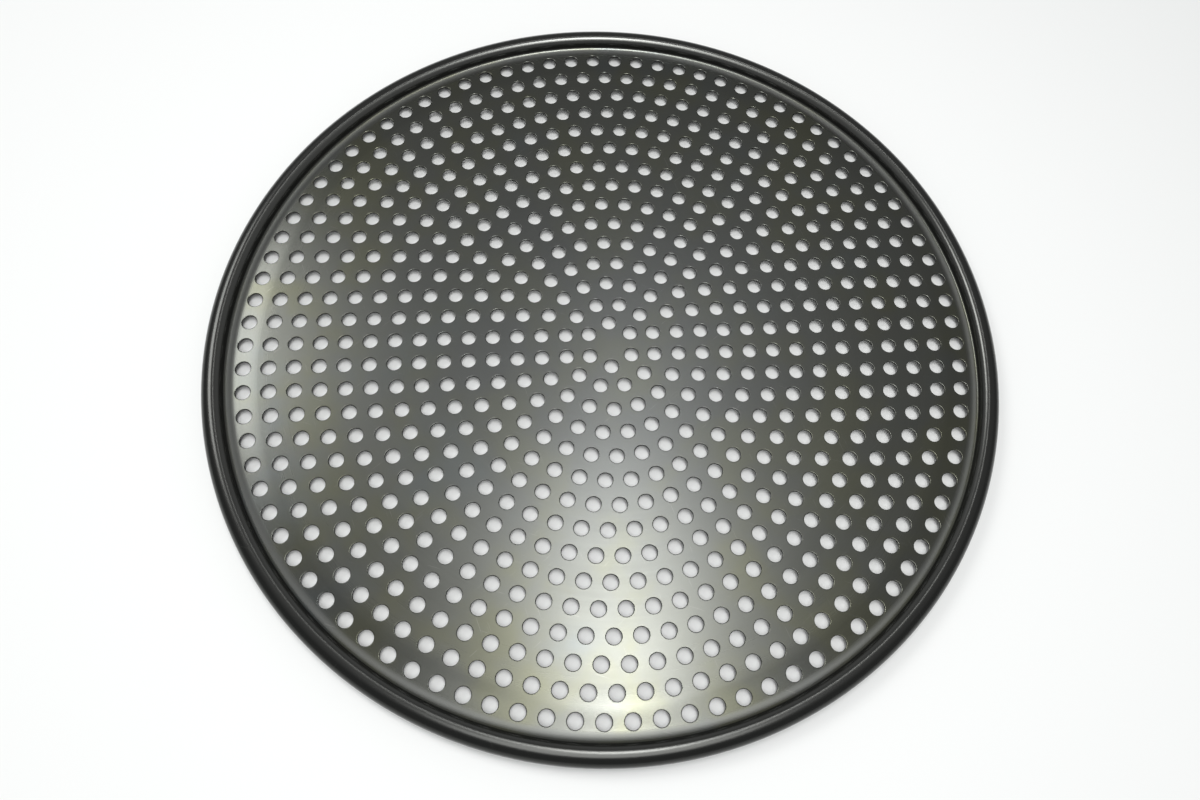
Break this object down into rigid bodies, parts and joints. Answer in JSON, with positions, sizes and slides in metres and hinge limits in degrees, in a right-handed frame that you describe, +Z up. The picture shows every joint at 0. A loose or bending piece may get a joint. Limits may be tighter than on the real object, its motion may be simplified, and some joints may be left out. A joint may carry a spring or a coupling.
{
  "type": "perforated pizza pan",
  "caption": "Round shallow pizza pan of dark anodised sheet with a flat floor punched in concentric rings of round holes and a rolled, wire-cored rim.",
  "frame": {"origin": "centre of the table plane that the rolled rim rests on", "axes": "+Z up through the centre of the floor, towards the side that the pizza lies on; +X and +Y in the table plane, with each ring of holes half a step off +X"},
  "size_m": [0.3287, 0.3288, 0.0099],
  "materials": {
    "anodised_sheet": "dark hard-anodised satin with a faint turned grain and mottled oven tint",
    "steel_wire": "plain drawn steel wire"
  },
  "bodies": {
    "root": {"perforated_pan": "anodised_sheet", "rim_wire": "steel_wire"}
  },
  "joints": []
}
